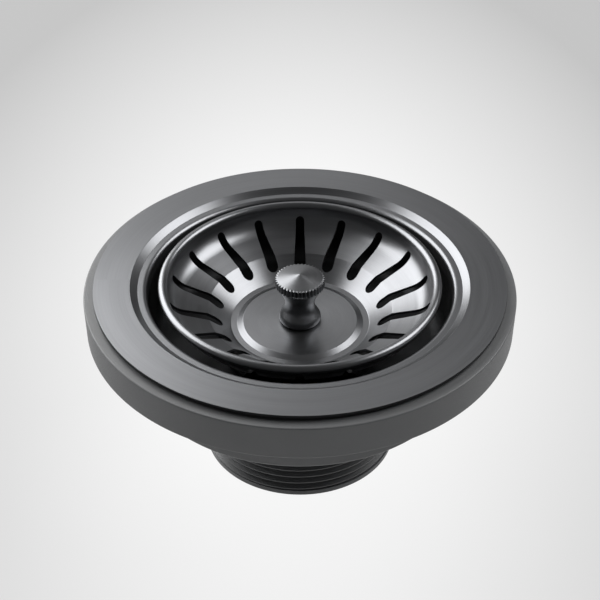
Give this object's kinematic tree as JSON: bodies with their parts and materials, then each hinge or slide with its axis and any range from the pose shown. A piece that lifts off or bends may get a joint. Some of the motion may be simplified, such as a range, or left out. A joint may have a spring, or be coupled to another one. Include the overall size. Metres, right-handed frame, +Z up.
{
  "type": "basket strainer waste",
  "caption": "Kitchen sink waste with a brushed gunmetal flange, a slotted lift-out basket with a knurled knob, and a moulded body with a threaded outlet tail.",
  "frame": {"origin": "on the waste's axis, in the plane of the flange's underside, where it seats on the sink", "axes": "+Z up out of the drain along the waste's axis; one basket slot points along +Y"},
  "size_m": [0.1194, 0.1194, 0.0579],
  "materials": {
    "gunmetal_steel": "brushed, dark gunmetal coating",
    "moulded_plastic": "moulded, fine satin grain",
    "black_rubber": "moulded, matt",
    "plain_steel": "turned, bright",
    "white_nylon": "moulded, natural",
    "brass": "turned"
  },
  "bodies": {
    "waste": {"flange_dish": "gunmetal_steel", "flange_gasket": "black_rubber", "body_gasket": "black_rubber", "lower_body": "moulded_plastic", "tail": "moulded_plastic", "threaded_insert": "brass", "screw_washer": "white_nylon", "clamp_screw": "plain_steel"},
    "catch": {"catch_bush": "white_nylon"},
    "strainer": {"basket": "gunmetal_steel", "knob": "gunmetal_steel", "stem": "plain_steel", "stopper_seal": "black_rubber", "backing_washer": "plain_steel"}
  },
  "joints": [
    {"name": "basket_lift", "type": "slide", "parent": "waste", "child": "catch", "axis": [0, 0, 1], "range_m": [-0.005, 0.04]},
    {"name": "basket_spin", "type": "hinge", "parent": "catch", "child": "strainer", "pos_m": [0, 0, 0], "axis": [0, 0, 1], "continuous": true}
  ]
}
